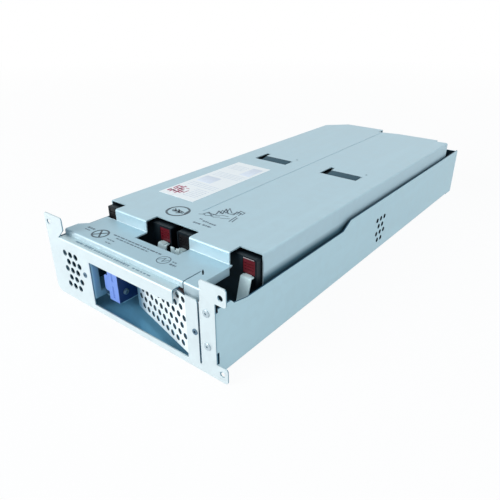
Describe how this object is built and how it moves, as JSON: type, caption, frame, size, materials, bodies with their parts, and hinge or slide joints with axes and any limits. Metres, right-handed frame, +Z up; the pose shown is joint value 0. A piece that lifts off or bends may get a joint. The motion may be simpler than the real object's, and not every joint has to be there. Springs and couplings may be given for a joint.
{
  "type": "ups battery cartridge",
  "caption": "Rack cartridge of sealed battery blocks: folded steel tray with ears, stepped cover, perforated guard beside a recessed blue power connector.",
  "frame": {"origin": "middle of the underside of the whole box, on the surface that the tray stands on", "axes": "X across the rack, +X to the right seen from the front; +Y from the front panel to the back; +Z up"},
  "size_m": [0.224, 0.532, 0.0841],
  "materials": {
    "steel_tray": "zinc-coated steel sheet",
    "steel_panel": "zinc-coated steel sheet",
    "steel_cover": "zinc-coated steel sheet",
    "block_case": "moulded case",
    "foam": "closed-cell foam",
    "boot_red": "soft moulded boot",
    "boot_black": "soft moulded boot",
    "tinned": "tinned",
    "connector_blue": "moulded",
    "contact_silver": "silver plated",
    "screw_steel": "zinc plated",
    "lead_red": "insulated lead",
    "lead_black": "insulated lead",
    "label_paper": "printed label"
  },
  "bodies": {
    "root": {"tray": "steel_tray", "front_panel": "steel_panel", "top_cover": "steel_cover", "connector_guard": "steel_panel", "connector_bracket": "steel_tray", "floor_pad": "foam", "channel_foam": "foam", "middle_pad": "foam", "positive_boots": "boot_red", "negative_boots": "boot_black", "terminal_blades": "tinned", "strap_outer_left": "tinned", "strap_inner_left": "tinned", "strap_inner_right": "tinned", "strap_outer_right": "tinned", "front_bar": "tinned", "channel_jumpers": "tinned", "connector_housing": "connector_blue", "connector_contacts": "contact_silver", "connector_screws": "screw_steel", "side_screws": "screw_steel", "connector_nuts": "screw_steel", "connector_spacers": "screw_steel", "lead_positive": "lead_red", "lead_negative": "lead_black", "label": "label_paper", "ear_rivets": "screw_steel", "panel_studs": "screw_steel", "stud_nuts": "screw_steel", "battery_block_1": "block_case", "battery_block_2": "block_case", "battery_block_3": "block_case", "battery_block_4": "block_case", "battery_block_5": "block_case", "battery_block_6": "block_case", "battery_block_7": "block_case", "battery_block_8": "block_case"}
  },
  "joints": []
}
